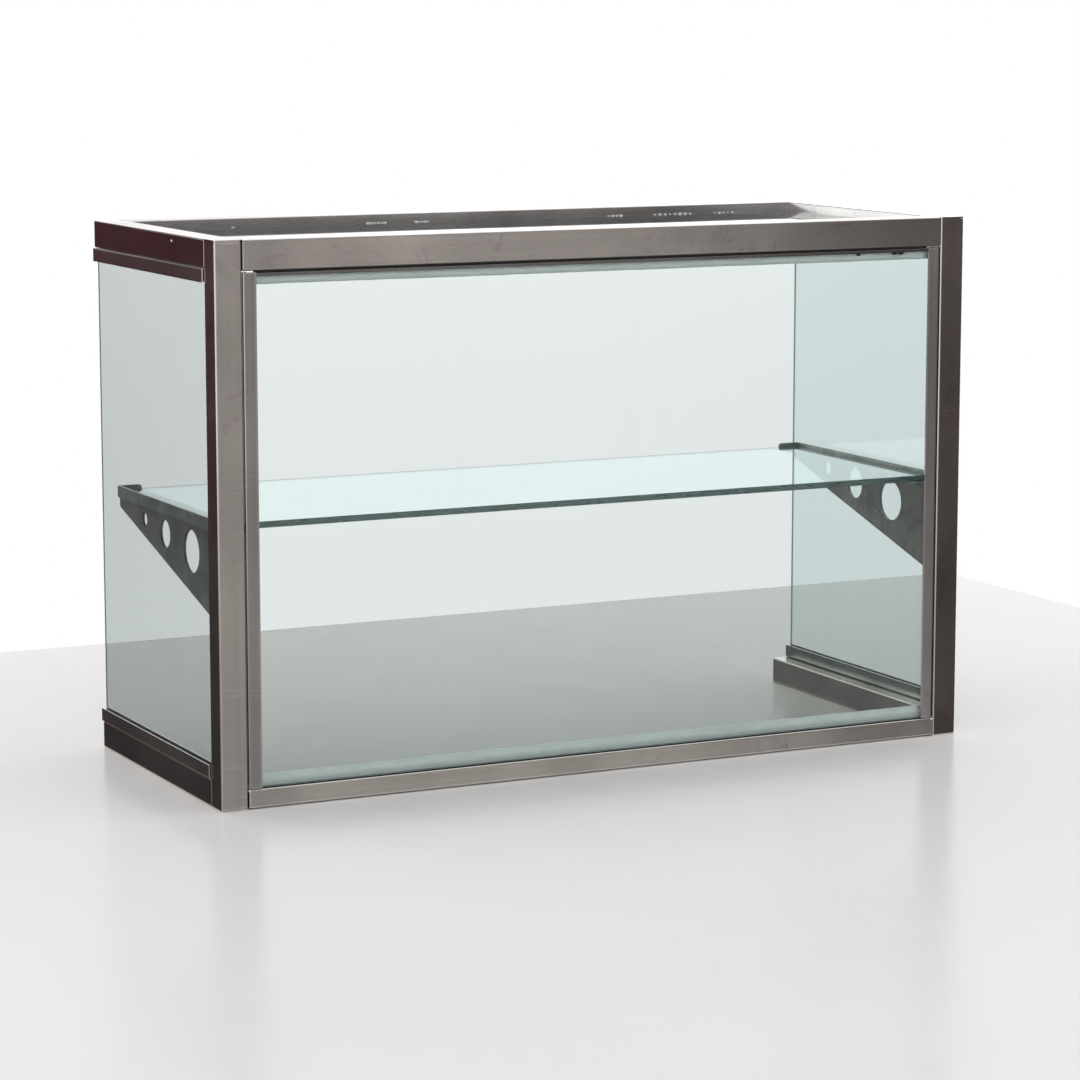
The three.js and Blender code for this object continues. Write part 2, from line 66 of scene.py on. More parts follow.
FLOOR_LOW = (-1.6, -1.9)
FLOOR_HIGH = (1.08, 0.8)
FLOOR_TONE = (0.55, 0.54, 0.537)
FLOOR_PAINTED_SHADE_BEHIND_GLASS = (0.50, 0.50, 0.465)    # painted shade: the share of that tone kept where the floor is seen through a pane
FLOOR_CLOUDS = (3.0, 4.0)
FLOOR_SHADES = (0.98, 1.02)
FLOOR_SHADES_BEHIND_GLASS = (0.95, 1.05)
FLOOR_GLOSS_PATCHES = (12.0, 3.0)
FLOOR_GLOSS = (0.18, 0.24)
FLOOR_SPECULAR = 0.12
FLOOR_IOR = 1.4
FLOOR_MIRRORED_WITHIN = 8 * MM

# ---- Studio -------------------------------------------------------------------------------

STUDIO_LIGHT = 1.5                          # how much brighter than white the studio shines
STUDIO_OVERHEAD = (1.15, 1.15, 1.15)
STUDIO_UNDERFOOT = (0.10, 0.098, 0.095)
WALL_THROUGH_GLASS = (0.88, 0.98)           # its brightness below the horizon, and at it

# Heights between which one part of the studio gives way to the next, as sines of elevation.
FLOOR_BAND = (-0.10, -0.19)
RIM_BAND = (0.0, 0.05)
HIGH_BAND = (0.09, 0.125)
OVERHEAD_BAND = (0.55, 0.8)
UNDERFOOT_BAND = (-0.30, -0.55)
THROUGH_GLASS_BAND = (-0.14, 0.0)

# What the case's shiny faces see round the studio, by the angle from straight in front
# round to the right: a bright card in front that ends 30 degrees round, a dark right side,
# a white wall behind and a large softbox on the left. Behind on the left is a dark corner.
STUDIO_LOW = [
    (-180, 0.70, 0.68, 0.68),
    (-176, 0.35, 0.32, 0.32),
    (-171, 0.065, 0.024, 0.032),
    (-155, 0.065, 0.024, 0.032),
    (-152.5, 0.30, 0.30, 0.30),
    (-150.5, 0.45, 0.45, 0.45),
    (-140, 0.50, 0.50, 0.50),
    (-120, 0.95, 0.95, 0.95),
    (-70, 1.25, 1.23, 1.21),
    (-20, 0.80, 0.78, 0.76),
    (0, 0.50, 0.48, 0.47),
    (20, 0.50, 0.48, 0.47),
    (27, 0.46, 0.445, 0.435),
    (30, 0.31, 0.295, 0.29),
    (32.4, 0.11, 0.10, 0.10),
    (34, 0.10, 0.084, 0.088),
    (70, 0.09, 0.076, 0.080),
    (85, 0.30, 0.30, 0.30),
    (120, 0.65, 0.65, 0.65),
    (150, 0.95, 0.95, 0.95),
    (180, 0.95, 0.95, 0.95),
]
# The same round, where it meets the floor.
STUDIO_FLOOR = [
    (-180, 0.30, 0.30, 0.30),
    (-172, 0.048, 0.041, 0.042),
    (-155, 0.048, 0.041, 0.042),
    (-148, 0.10, 0.105, 0.10),
    (-120, 0.40, 0.40, 0.40),
    (0, 0.44, 0.43, 0.42),
    (21, 0.44, 0.43, 0.42),
    (27, 0.53, 0.515, 0.50),
    (30, 0.40, 0.39, 0.38),
    (32.3, 0.31, 0.30, 0.295),
    (34, 0.05, 0.042, 0.042),
    (70, 0.04, 0.035, 0.036),
    (120, 0.40, 0.40, 0.40),
    (180, 0.40, 0.40, 0.40),
]
# Just above eye level: what the frame's upward faces see.
STUDIO_RIM = [
    (-180, 1.20, 1.20, 1.20),
    (-176, 0.60, 0.60, 0.60),
    (-170, 0.13, 0.12, 0.12),
    (-155, 0.13, 0.12, 0.12),
    (-150, 0.80, 0.80, 0.80),
    (-90, 1.05, 1.05, 1.05),
    (-20, 0.40, 0.40, 0.40),
    (40, 0.16, 0.155, 0.155),
    (80, 0.30, 0.30, 0.30),
    (120, 1.2, 1.2, 1.2),
    (140, 1.9, 1.9, 1.9),
    (156, 1.9, 1.9, 1.9),
    (159.5, 1.15, 1.14, 1.15),
    (180, 1.0, 1.0, 1.0),
]
# Above that: what the shelf sees.
STUDIO_HIGH = [
    (-180, 0.60, 0.60, 0.60),
    (-170, 0.15, 0.14, 0.14),
    (-155, 0.15, 0.14, 0.14),
    (-151, 1.35, 1.34, 1.33),
    (-140, 1.35, 1.34, 1.33),
    (-90, 1.05, 1.05, 1.05),
    (-20, 0.40, 0.40, 0.40),
    (40, 0.16, 0.155, 0.155),
    (80, 0.30, 0.30, 0.30),
    (120, 1.12, 1.13, 1.13),
    (180, 1.12, 1.13, 1.13),
]

# ---- Steel --------------------------------------------------------------------------------

FRAME_TONE = (0.60, 0.56, 0.53)
CHANNEL_TONE = (0.55, 0.51, 0.485)
STRIP_TONE = (0.46, 0.435, 0.42)            # the upright channels
RECESS_SHADE_TONE = (0.24, 0.23, 0.22)            # the channel under the front top rail, darkened as painted shade for its recess
DARKER_CHANNEL_TONE = (0.29, 0.31, 0.29)            # the right base channel, darker than the other channels
RIGHT_RAIL_HIGHLIGHT_TONE = (0.80, 0.79, 0.78)            # the right top rail, made bright as a painted reflection
# The rear rail is darker than the frame: painted shade.
REAR_SHADED_TONE = (0.48, 0.455, 0.45)
PIN_TONE = (0.92, 0.92, 0.90)
GUSSET_TONE = (0.30, 0.305, 0.285)
ANGLE_TONE = (0.42, 0.45, 0.43)
POST_TWIST = (0.035, 0.0, 0.0)              # the right post stands a little askew
STRIP_TWIST = (-0.025, 0.0, 0.0)
RIGHT_RAIL_LEAN = (0.0, 0.0, 0.20)
FRAME_GLOSS = 0.14
RAIL_CHANNEL_GLOSS = 0.21
FRONT_CHANNEL_GLOSS = 0.17
RIGHT_RAIL_GLOSS = 0.20
LEDGE_GLOSS = 0.25
ANISOTROPY = 0.5

POST_SMUDGES = 1.4                          # smudges, as shares of a plain rail's
SIDE_RAIL_SMUDGES = 1.5
STRIP_SMUDGES = 0.6
RIGHT_RAIL_SMUDGES = 0.5

GRAIN = ((900.0, 5.0), 2.0, 0.6)            # its two scales are across the brushing and along it
GRAIN_HEIGHT = 0.5
STREAKS = ((170.0, 1.6), 3.0, 0.65)
STREAK_HEIGHT = 0.5
STREAK_SHADES = (0.95, 1.04)
DRIFT = (6.0, 1.0)                          # slow change from one end of a face to the other
DRIFT_STOPS = [(0.34, (0.84,) * 3), (0.66, (1.14,) * 3)]
SMUDGES = (7.5, 5.0, 0.62, 0.6)
SMUDGED_ABOVE = (0.45, 0.75)
SMUDGE_SHARE = 0.45
SMUDGE_SHADE = 0.62
SMUDGE_DULLS = 0.12                         # how far smudges change the roughness
BLOTCHES = (46.0, 3.0, 0.6, 0.3)
BLOTCH_DULLS = 0.04
STAINS = (19.0, 4.0, 0.7, 1.5)
STAINED_ABOVE = (0.56, 0.74)
STAIN_SHARE = 0.5
STAIN_TONE = (0.36, 0.31, 0.33)
SCRATCH_LINES = (1.0, 1.0)
SCRATCH_PATCHES = (14.0, 2.0)
SCRATCHED_ABOVE = (0.52, 0.66)
SCRATCH_DEPTH = 0.6
SCRATCH_SHARE = 0.35
SCRATCH_SHADE = 1.25
WEAR_AND_HIGHLIGHT_REACH = (0.3 * MM, 1.2 * MM)           # edges are fully rubbed and lightened with a painted highlight, then neither
WEAR_AND_HIGHLIGHT_RAGGED = 2.4 * MM
WEAR_AND_HIGHLIGHT_OFFSET = -0.2 * MM
WEAR_AND_HIGHLIGHT_SHARE = 0.55
WEAR_AND_HIGHLIGHT_SHADE = 1.35
WEAR_POLISHES = 0.05
STEEL_RELIEF = (0.02 * MM, 0.16)

# Kinds of scratch: the scale of their noise, drawn out along them, its turn, their width.
FRAME_SCRATCHES = [
    ((5.0, 70.0, 70.0), (0.9, 0.4, 0.7), 0.012),
    ((8.0, 120.0, 120.0), (0.5, 0.5, 0.5), 0.018),
]
BRACKET_SCRATCHES = ((8.0, 90.0, 90.0), (0.4, 0.9, 0.2), 0.016)

MILL_BLOTCHES = (30.0, 5.0, 0.65, 0.8)      # of hot-rolled steel
MILL_HEIGHT = 0.7
MILL_SHADES = (0.72, 1.2)
MILL_ROUGHNESS = (0.34, 0.52)
MILL_GRIT = (420.0, 3.0, 0.6)
MILL_GRIT_HEIGHT = 0.5
BRACKET_METALLIC = 0.85
BRACKET_SCRATCH_SHARE = 0.6
BRACKET_SCRATCH_SHADE = 1.9
BRACKET_RELIEF = (0.12 * MM, 0.7)

WELD_METALLIC = 0.9
WELD_HEAT = (60.0, 3.0, 0.6)
WELD_TINTS = [                              # bare, and heated blue and brown
    (0.30, (0.20, 0.21, 0.25)),
    (0.45, (0.36, 0.345, 0.33)),
    (0.60, (0.34, 0.27, 0.20)),
    (0.75, (0.36, 0.345, 0.33)),
]
WELD_GRIT = (700.0, 3.0, 0.6)
WELD_ROUGHNESS = (0.3, 0.5)
WELD_RELIEF = (0.1 * MM, 0.6)

# ---- Glass, sealant and rubber ------------------------------------------------------------

GLASS_DENSITY = 20.0                        # with GLASS_PASSES, what the glass takes out
GLASS_PASSES = (0.13, 0.66, 0.64)
GLASS_IOR = 1.52
PANE_SHADOW = (0.88, 0.94, 0.93)
SMEARS = ((9.0, 2.0), 5.0, 0.6, 0.8)
SMEARED_ROUGHNESS = (0.0, 0.05)
ROUGHENED_ABOVE = (0.45, 0.85)
FILM_TONE = (0.82, 0.86, 0.84)
FILM_SHARE = 0.02
FILMED_ABOVE = (0.5, 0.8)
DUST = (900.0, 2.0, 0.7)
DUST_SHARE = 0.12
DUSTY_ABOVE = (0.74, 0.80)
GRINDING_STRETCH = (40.0, 40.0, 400.0)      # on a pane's edges
GRINDING = (1.0, 3.0, 0.6)
GROUND_TONES = ((0.26, 0.36, 0.345), (0.33, 0.43, 0.41))
GROUND_ROUGHNESS = (0.22, 0.38)
GROUND_CLEARNESS = 0.55
GROUND_IOR = 1.5
GROUND_RELIEF = (0.05 * MM, 0.5)
FACE_SQUARENESS = (0.80, 0.95)              # from edge to face, by the normal

# Near white, brighter than silicone is: painted light for the light that the sealant behind the
# pane lacks.
SEALANT_BRIGHTENED_CLOUDY = (1.0, 0.99, 0.95)
SEALANT_BRIGHTENED_CLEAR = (0.96, 0.97, 0.93)
SEALANT_STRETCH = (9.0, 160.0, 260.0)
SEALANT_STREAKS = (1.0, 4.0, 0.6, 0.5)
SEALANT_STREAKED = (0.35, 0.65)
SEALANT_PATCHES = (28.0, 4.0, 0.6, 0.6)
SEALANT_PATCHED_ABOVE = (0.45, 0.75)
SEALANT_PATCH_SHARE = 0.3
SEALANT_PATCH_SHADE = 0.86
SEALANT_ROUGHNESS = (0.16, 0.34)
SEALANT_IOR = 1.41
SEALANT_RELIEF = (0.15 * MM, 0.5)
BEAD_CLEARNESS = 0.06
TOP_JOINT_CLEARNESS = 0.15

# Dried white sealant; the same white makes the dabs that are painted glints at the front base
# joints.
DRIED_CRUST = (300.0, 3.0)
DRIED_SEALANT_AND_GLINT_TONES = ((0.42, 0.43, 0.42), (0.60, 0.61, 0.60))
DRIED_ROUGHNESS = (0.4, 0.6)
DRIED_RELIEF = (0.2 * MM, 0.6)

RUBBER_BLOOM = (80.0, 4.0, 0.6)
RUBBER_TONES = ((0.007, 0.008, 0.008), (0.020, 0.021, 0.020))
RUBBER_ROUGHNESS = (0.5, 0.75)
RUBBER_GRIT = (700.0, 2.0)
RUBBER_RELIEF = (0.08 * MM, 0.5)

TAPE_BLOOM = (60.0, 3.0)
TAPE_TONES = ((0.17, 0.18, 0.18), (0.26, 0.27, 0.265))
TAPE_ROUGHNESS = (0.7, 0.9)
TAPE_CELLS = 900.0
TAPE_RELIEF = (0.2 * MM, 0.6)

# ---- Rounded edges ------------------------------------------------------------------------

STEEL_ROUND = 0.3 * MM
BRACKET_ROUND = 0.25 * MM
GLASS_ROUND = 0.7 * MM
ROUND_STEPS = 2
ROUND_ABOVE = math.radians(40)              # only edges sharper than this
WELD_WITHIN = 0.01 * MM

# ---- Sealant behind the front pane --------------------------------------------------------

# A wavering measure is its middle value and its waves, each of a size, a scale and a seed.
BEAD_STEP = 2.5 * MM
BASE_RISE = (0.93, (0.03, 9, 3.1), (0.03, 60, 7.7))     # as a share of the CAD bead's height
BASE_FOOT = (0.90, (0.10, 22, 1.3))                     # as a share of its width
BASE_BELLY = (0.30, (0.084, 36, 5.9))
BASE_HEEL = 0.6 * MM
BASE_LIP = 0.5 * MM
SLOPE_PARTS = (0.15, 0.3, 0.45, 0.6, 0.75, 0.9, 1.0)
SLOPE_HOLLOW = 1.4
RIPPLE = 0.35 * MM
RIPPLE_SCALE = 90
RIPPLE_SEED = 2.2

TOP_DRIP = (0.7 * MM, (0.3 * MM, 40, 9.3), (0.3 * MM, 9, 4.1))
TOP_THICKNESS = (0.75, (0.2, 30, 6.6))      # as a share of the CAD bead's width
TOP_LIP = 0.4 * MM
TOP_NECK = 6.0 * MM                         # where it goes up behind the channel's leg
TOP_ROOT = 1.7 * MM                         # its thickness there
# Its belly: shares of its thickness, at heights above its lower edge and from its neck.
TOP_BELLY_LOW = [(0.5, 1.5 * MM), (0.8, 3.0 * MM)]
TOP_BELLY_HIGH = [(1.0, -0.6 * MM), (0.5, 0.0)]
TOP_NECK_HEIGHT = 0.3 * MM

# ---- Small pieces -------------------------------------------------------------------------

BLOB_STEPS = 3
BLOB_SWELL = 0.28
BLOB_UNEVENNESS = 1.7

# Runs of specks: middle of each run across the case, its length and its number of specks.
SPECK_RUNS = [
    (-0.302, 0.004, 1),
    (-0.125, 0.026, 6),
    (-0.068, 0.018, 5),
    (0.184, 0.022, 4),
    (0.262, 0.055, 8),
    (0.332, 0.030, 5),
]
SPECK_SIZE = 1.1 * MM
SPECK_SIZE_RANGE = 0.7 * MM
SPECK_SIZE_SCALE = 1.7
SPECK_SHAPE = (1.6, 0.8, 0.7)
SPECK_INSET = 0.3 * MM                      # from the pane's rear edge
SPECK_OVERLAP = 0.4                         # further in, and above the pane, as shares of a speck
SPECK_STAND = 0.25
SPECK_SEED = 2.5

# Rubber lumps: place across the case, behind the channel's face and above its lower edge,
# then the three radii.
RECESS_LUMPS = [
    ((0.3160, 3.0 * MM, 7.2 * MM), (3.2 * MM, 2.2 * MM, 2.2 * MM)),
    ((0.3180, 2.6 * MM, 3.5 * MM), (2.6 * MM, 1.6 * MM, 1.3 * MM)),
    ((0.3655, 2.4 * MM, 3.2 * MM), (4.2 * MM, 1.4 * MM, 1.3 * MM)),
    ((0.3735, 2.4 * MM, 3.6 * MM), (3.6 * MM, 1.6 * MM, 2.0 * MM)),
]
LUMP_SEED = 8.5

DAB_RADII = (1.3 * MM, 0.7 * MM, 1.2 * MM)
DAB_INSET = Vector((0.6, 0.2, 1.2)) * MM    # from the rail's end, face and upper edge
DAB_SEED = 4.5

WELD_RADIUS = 1.9 * MM
WELD_PITCH = 2.2 * MM                       # from one ripple of a weld to the next
WELD_RINGS_PER_RIPPLE = 5
WELD_MIN_RINGS = 8
WELD_SIDES = 10
WELD_FLATNESS = 0.75
WELD_TAPER_START = 0.3
WELD_TAPER = 4
WELD_BODY = (0.82, (0.12, 30, 1.71))
WELD_RIPPLE = 0.18
GUSSET_WELD = (0.05, 0.73)                  # its ends, as shares of the gusset's length
GUSSET_WELD_DROP = 0.4 * MM
POST_WELD_OUT = 0.6 * MM
POST_WELD_LOW = 14 * MM
POST_WELD_HIGH = 22 * MM

PIN_FROM_FRONT = 124 * MM
PIN_DROP = 8 * MM
PIN_RADIUS = 1.5 * MM
PIN_STAND = 0.8 * MM
PIN_SIDES = 20
PIN_PROFILE = ((-0.4, 1.0), (0.0, 1.0), (0.35, 0.97), (0.7, 0.8), (0.93, 0.5), (1.0, 0.15))
PIN_GLOSS = 0.2
PIN_SMUDGES = 0.3


def aim_camera():
    """The camera, looking down at the case from its front left."""
    level = math.cos(CAMERA_DROP)
    ahead = Vector((
        math.sin(CAMERA_AZIMUTH) * level,
        math.cos(CAMERA_AZIMUTH) * level,
        -math.sin(CAMERA_DROP),
    ))
    lens = bpy.data.cameras.new("camera")
    lens.lens = CAMERA_LENS
    lens.sensor_width = CAMERA_SENSOR
    camera = bpy.data.objects.new("camera", lens)
    camera.location = CAMERA_AIM - ahead * CAMERA_DISTANCE
    camera.rotation_mode = "QUATERNION"
    camera.rotation_quaternion = ahead.to_track_quat("-Z", "Y")
    bpy.context.scene.collection.objects.link(camera)
    bpy.context.scene.camera = camera


# ---- Shader building ----------------------------------------------------------------------

MIX_COLOURS = (6, 7)                        # sockets of the Mix node when it mixes colours
MIX_RESULT = 2


class Shader:
    """A node tree with short ways to add the nodes that the materials share."""

    def __init__(self, tree):
        tree.nodes.clear()
        self.tree = tree

    def add(self, kind, inputs=None, **settings):
        node = self.tree.nodes.new("ShaderNode" + kind)
        for key, value in settings.items():
            setattr(node, key, value)
        for key, value in (inputs or {}).items():
            if isinstance(value, bpy.types.NodeSocket):
                self.tree.links.new(value, node.inputs[key])
            else:
                node.inputs[key].default_value = value
        return node

    def math(self, operation, first, second=0.0, clamp=False):
        node = self.add("Math", {0: first, 1: second}, operation=operation, use_clamp=clamp)
        return node.outputs[0]

    def multiply_add(self, value, factor, plus):
        inputs = {0: value, 1: factor, 2: plus}
        return self.add("Math", inputs, operation="MULTIPLY_ADD").outputs[0]

    def weighed(self, first, second):
        """The sum of two values, each given with its weight."""
        return self.math("ADD", self.math("MULTIPLY", *first), self.math("MULTIPLY", *second))

    def remap(self, value, low, high, to_low=0.0, to_high=1.0):
        """value eased from to_low at low to to_high at high."""
        inputs = {"Value": value, "From Min": low, "From Max": high,
                  "To Min": to_low, "To Max": to_high}
        return self.add("MapRange", inputs, interpolation_type="SMOOTHSTEP").outputs[0]

    def mix(self, factor, first, second, blend="MIX"):
        """Two colours mixed."""
        node = self.add("Mix", {0: factor}, data_type="RGBA", blend_type=blend)
        for socket, value in zip(MIX_COLOURS, (first, second)):
            if isinstance(value, bpy.types.NodeSocket):
                self.tree.links.new(value, node.inputs[socket])
            else:
                node.inputs[socket].default_value = (*value, 1.0)
        return node.outputs[MIX_RESULT]

    def mix_surfaces(self, factor, first, second):
        return self.add("MixShader", {0: factor, 1: first, 2: second}).outputs[0]

    def principled(self, inputs):
        return self.add("BsdfPrincipled", inputs).outputs[0]

    def noise(self, where, scale, detail=2.0, roughness=0.5, distortion=0.0):
        inputs = {"Vector": where, "Scale": scale, "Detail": detail,
                  "Roughness": roughness, "Distortion": distortion}
        return self.add("TexNoise", inputs).outputs[0]

    def stretch(self, where, scale, turn=(0.0, 0.0, 0.0)):
        return self.add("Mapping", {"Vector": where, "Scale": scale, "Rotation": turn}).outputs[0]

    def drawn_out(self, where, axis, scales, detail, roughness, distortion=0.0):
        """Noise with one scale across an axis and another along it."""
        across, along = scales
        stretched = [across] * 3
        stretched[axis] = along
        return self.noise(self.stretch(where, stretched), 1.0, detail, roughness, distortion)

    def place(self):
        return self.add("TexCoord").outputs["Object"]

    def parts(self, vector):
        return self.add("SeparateXYZ", {0: vector}).outputs

    def bump(self, height, distance, strength=1.0):
        inputs = {"Height": height, "Distance": distance, "Strength": strength}
        return self.add("Bump", inputs).outputs[0]

    def ramp(self, factor, stops):
        """A colour ramp through (position, colour) stops."""
        node = self.add("ValToRGB", {0: factor})
        elements = node.color_ramp.elements
        while len(elements) < len(stops):
            elements.new(0.5)
        for element, (position, colour) in zip(elements, stops):
            element.position = position
            element.color = (*colour, 1.0)
        return node.outputs[0]

    def finish(self, surface, volume=None):
        output = self.add("OutputMaterial", {"Surface": surface})
        if volume is not None:
            self.tree.links.new(volume, output.inputs["Volume"])


def new_material(name):
    material = bpy.data.materials.new(name)
    material.use_nodes = True
    return material, Shader(material.node_tree)


def shade(tone, factor):
    return tuple(channel * factor for channel in tone)


def shades(tone, factors):
    return [shade(tone, factor) for factor in factors]


def at_least_one(s, depth):
    """1 once a light path has made a step of this kind, and 0 before."""
    return s.math("GREATER_THAN", depth, 0.5)


# ---- Studio -------------------------------------------------------------------------------


def light_studio():
    """White all round for what is seen directly, and cards and softboxes for reflections."""
    world = bpy.data.worlds.new("studio")
    bpy.context.scene.world = world
    world.use_nodes = True
    world.cycles.sampling_method = "NONE"
    s = Shader(world.node_tree)
    x, y, z = s.parts(s.add("TexCoord").outputs["Generated"])
    around = s.math("ARCTAN2", x, s.math("MULTIPLY", y, -1.0))
    turn = s.multiply_add(around, 1 / math.tau, 0.5)

    def panorama(stops):
        return s.ramp(turn, [((angle + 180) / 360, colour) for angle, *colour in stops])

    wall = s.mix(s.remap(z, *FLOOR_BAND), panorama(STUDIO_LOW), panorama(STUDIO_FLOOR))
    rim = s.mix(s.remap(z, *RIM_BAND), wall, panorama(STUDIO_RIM))
    level = s.mix(s.remap(z, *HIGH_BAND), rim, panorama(STUDIO_HIGH))
    overhead = s.mix(s.remap(z, *OVERHEAD_BAND), level, STUDIO_OVERHEAD)
    cards = s.mix(s.remap(z, *UNDERFOOT_BAND), overhead, STUDIO_UNDERFOOT)

    path = s.add("LightPath").outputs
    low, horizon = WALL_THROUGH_GLASS
    height = s.remap(z, *THROUGH_GLASS_BAND)
    behind_glass = s.ramp(height, [(0.0, (low,) * 3), (1.0, (horizon,) * 3)])
    through = at_least_one(s, path["Transmission Depth"])
    plain = s.mix(through, (1.0, 1.0, 1.0), behind_glass)
    shone = at_least_one(s, path["Glossy Depth"])
    scattered = at_least_one(s, path["Diffuse Depth"])
    mirrored = s.math("MULTIPLY", shone, s.math("SUBTRACT", 1.0, scattered))
    seen = s.mix(mirrored, plain, cards)
    strength = s.remap(path["Diffuse Depth"], 0.0, 1.0, 1.0, STUDIO_LIGHT)
    background = s.add("Background", {"Color": seen, "Strength": strength})
    s.add("OutputWorld", {"Surface": background.outputs[0]})
    bpy.context.scene.view_settings.view_transform = "Standard"


def lay_floor():
    """A plain pale floor, which ends behind the case."""
    mesh = bpy.data.meshes.new("floor")
    (x0, y0), (x1, y1) = FLOOR_LOW, FLOOR_HIGH
    mesh.from_pydata([(x0, y0, 0), (x1, y0, 0), (x1, y1, 0), (x0, y1, 0)], [], [(0, 1, 2, 3)])
    floor = bpy.data.objects.new("floor", mesh)
    bpy.context.scene.collection.objects.link(floor)

    material, s = new_material("pale_floor")
    where = s.place()
    cloud = s.noise(where, *FLOOR_CLOUDS)
    # Seen through a pane, the floor takes a darker tone: painted shade for the inside of the
    # case.
    behind = tuple(a * b for a, b in zip(FLOOR_TONE, FLOOR_PAINTED_SHADE_BEHIND_GLASS))
    open_tone = s.mix(cloud, *shades(FLOOR_TONE, FLOOR_SHADES))
    painted_shade_tone = s.mix(cloud, *shades(behind, FLOOR_SHADES_BEHIND_GLASS))
    path = s.add("LightPath").outputs
    gloss_patches = s.noise(where, *FLOOR_GLOSS_PATCHES)
    surface = s.principled({
        "Base Color": s.mix(at_least_one(s, path["Transmission Depth"]), open_tone, painted_shade_tone),
        "Roughness": s.remap(gloss_patches, *NOISE_CORE, *FLOOR_GLOSS),
        "IOR": FLOOR_IOR,
        "Specular IOR Level": FLOOR_SPECULAR,
    })
    # Shiny faces see the floor only where they nearly touch it; further off they see the cards.
    far = s.math("GREATER_THAN", path["Ray Length"], FLOOR_MIRRORED_WITHIN)
    mirrored = s.math("MULTIPLY", path["Is Glossy Ray"], path["Is Reflection Ray"])
    gone = s.add("BsdfTransparent").outputs[0]
    s.finish(s.mix_surfaces(s.math("MULTIPLY", mirrored, far), surface, gone))
    mesh.materials.append(material)


# ---- Materials ----------------------------------------------------------------------------


def edge_distance(s, where, low, high):
    """How far a point on a box-shaped piece is from the nearest of the box's edges."""
    near = []
    for axis, along in enumerate(s.parts(where)):
        from_low = s.math("SUBTRACT", along, low[axis])
        from_high = s.math("SUBTRACT", high[axis], along)
        near.append(s.math("MINIMUM", from_low, from_high))
    a, b, c = near
    nearer, further = s.math("MINIMUM", a, b), s.math("MAXIMUM", a, b)
    return s.math("MAXIMUM", nearer, s.math("MINIMUM", further, c))


def scratches(s, where, scale, turn, width):
    """Thin hair lines where a drawn-out noise crosses its middle, in scattered patches."""
    lines = s.noise(s.stretch(where, scale, turn), *SCRATCH_LINES)
    off = s.math("ABSOLUTE", s.math("SUBTRACT", lines, NOISE_MIDDLE))
    hair = s.remap(off, 0.0, width, 1.0, 0.0)
    patches = s.remap(s.noise(where, *SCRATCH_PATCHES), *SCRATCHED_ABOVE)
    return s.math("MULTIPLY", hair, patches)


def steel(name, tone, grain, box, roughness=FRAME_GLOSS, smudged=1.0, edge_wear_and_highlight=1.0, twist=None):
    """Brushed steel: grain along one axis, handled smudges, hair scratches, and edges that are
    rubbed and lightened with a painted highlight.

    twist leans what the faces reflect, as on a tube that was welded in a little askew."""
    material, s = new_material(name)
    where = s.place()
    fine = s.drawn_out(where, grain, *GRAIN)
    streak = s.drawn_out(where, grain, *STREAKS)
    smudge = s.noise(where, *SMUDGES)
    blotch = s.noise(where, *BLOTCHES)
    stain = s.noise(where, *STAINS)
    hair = s.math("MAXIMUM", *(scratches(s, where, *kind) for kind in FRAME_SCRATCHES))
    ragged = s.multiply_add(blotch, WEAR_AND_HIGHLIGHT_RAGGED, WEAR_AND_HIGHLIGHT_OFFSET)
    from_edge = s.math("SUBTRACT", edge_distance(s, where, *box), ragged)
    wear_and_highlight = s.remap(from_edge, *WEAR_AND_HIGHLIGHT_REACH, edge_wear_and_highlight, 0.0)

    body = s.mix(s.remap(streak, *NOISE_CORE), *shades(tone, STREAK_SHADES))
    body = s.mix(1.0, body, s.ramp(s.noise(where, *DRIFT), DRIFT_STOPS), "MULTIPLY")
    dull = s.math("MULTIPLY", s.remap(smudge, *SMUDGED_ABOVE), SMUDGE_SHARE * smudged)
    body = s.mix(dull, body, shade(tone, SMUDGE_SHADE))
    body = s.mix(s.remap(stain, *STAINED_ABOVE, 0.0, STAIN_SHARE), body, STAIN_TONE)
    body = s.mix(s.math("MULTIPLY", hair, SCRATCH_SHARE), body, shade(tone, SCRATCH_SHADE))
    # Edges are lightened: partly rubbed steel, partly a painted highlight.
    body = s.mix(s.math("MULTIPLY", wear_and_highlight, WEAR_AND_HIGHLIGHT_SHARE), body, shade(tone, WEAR_AND_HIGHLIGHT_SHADE))

    dulls = SMUDGE_DULLS * smudged
    gloss = s.multiply_add(smudge, dulls, roughness - NOISE_MIDDLE * dulls)
    blotches = s.math("SUBTRACT", blotch, NOISE_MIDDLE)
    gloss = s.math("ADD", gloss, s.math("MULTIPLY", blotches, BLOTCH_DULLS))
    gloss = s.math("SUBTRACT", gloss, s.math("MULTIPLY", wear_and_highlight, WEAR_POLISHES), clamp=True)

    height = s.weighed((fine, GRAIN_HEIGHT), (streak, STREAK_HEIGHT))
    height = s.math("SUBTRACT", height, s.math("MULTIPLY", hair, SCRATCH_DEPTH))
    normal = s.bump(height, *STEEL_RELIEF)
    if twist:
        normal = s.add("VectorMath", {0: normal, 1: twist}, operation="ADD").outputs[0]
        normal = s.add("VectorMath", {0: normal}, operation="NORMALIZE").outputs[0]
    s.finish(s.principled({
        "Base Color": body,
        "Metallic": 1.0,
        "Roughness": gloss,
        "Anisotropic": ANISOTROPY,
        "Tangent": s.add("Tangent", direction_type="RADIAL", axis="XYZ"[grain]).outputs[0],
        "Normal": normal,
    }))
    return material


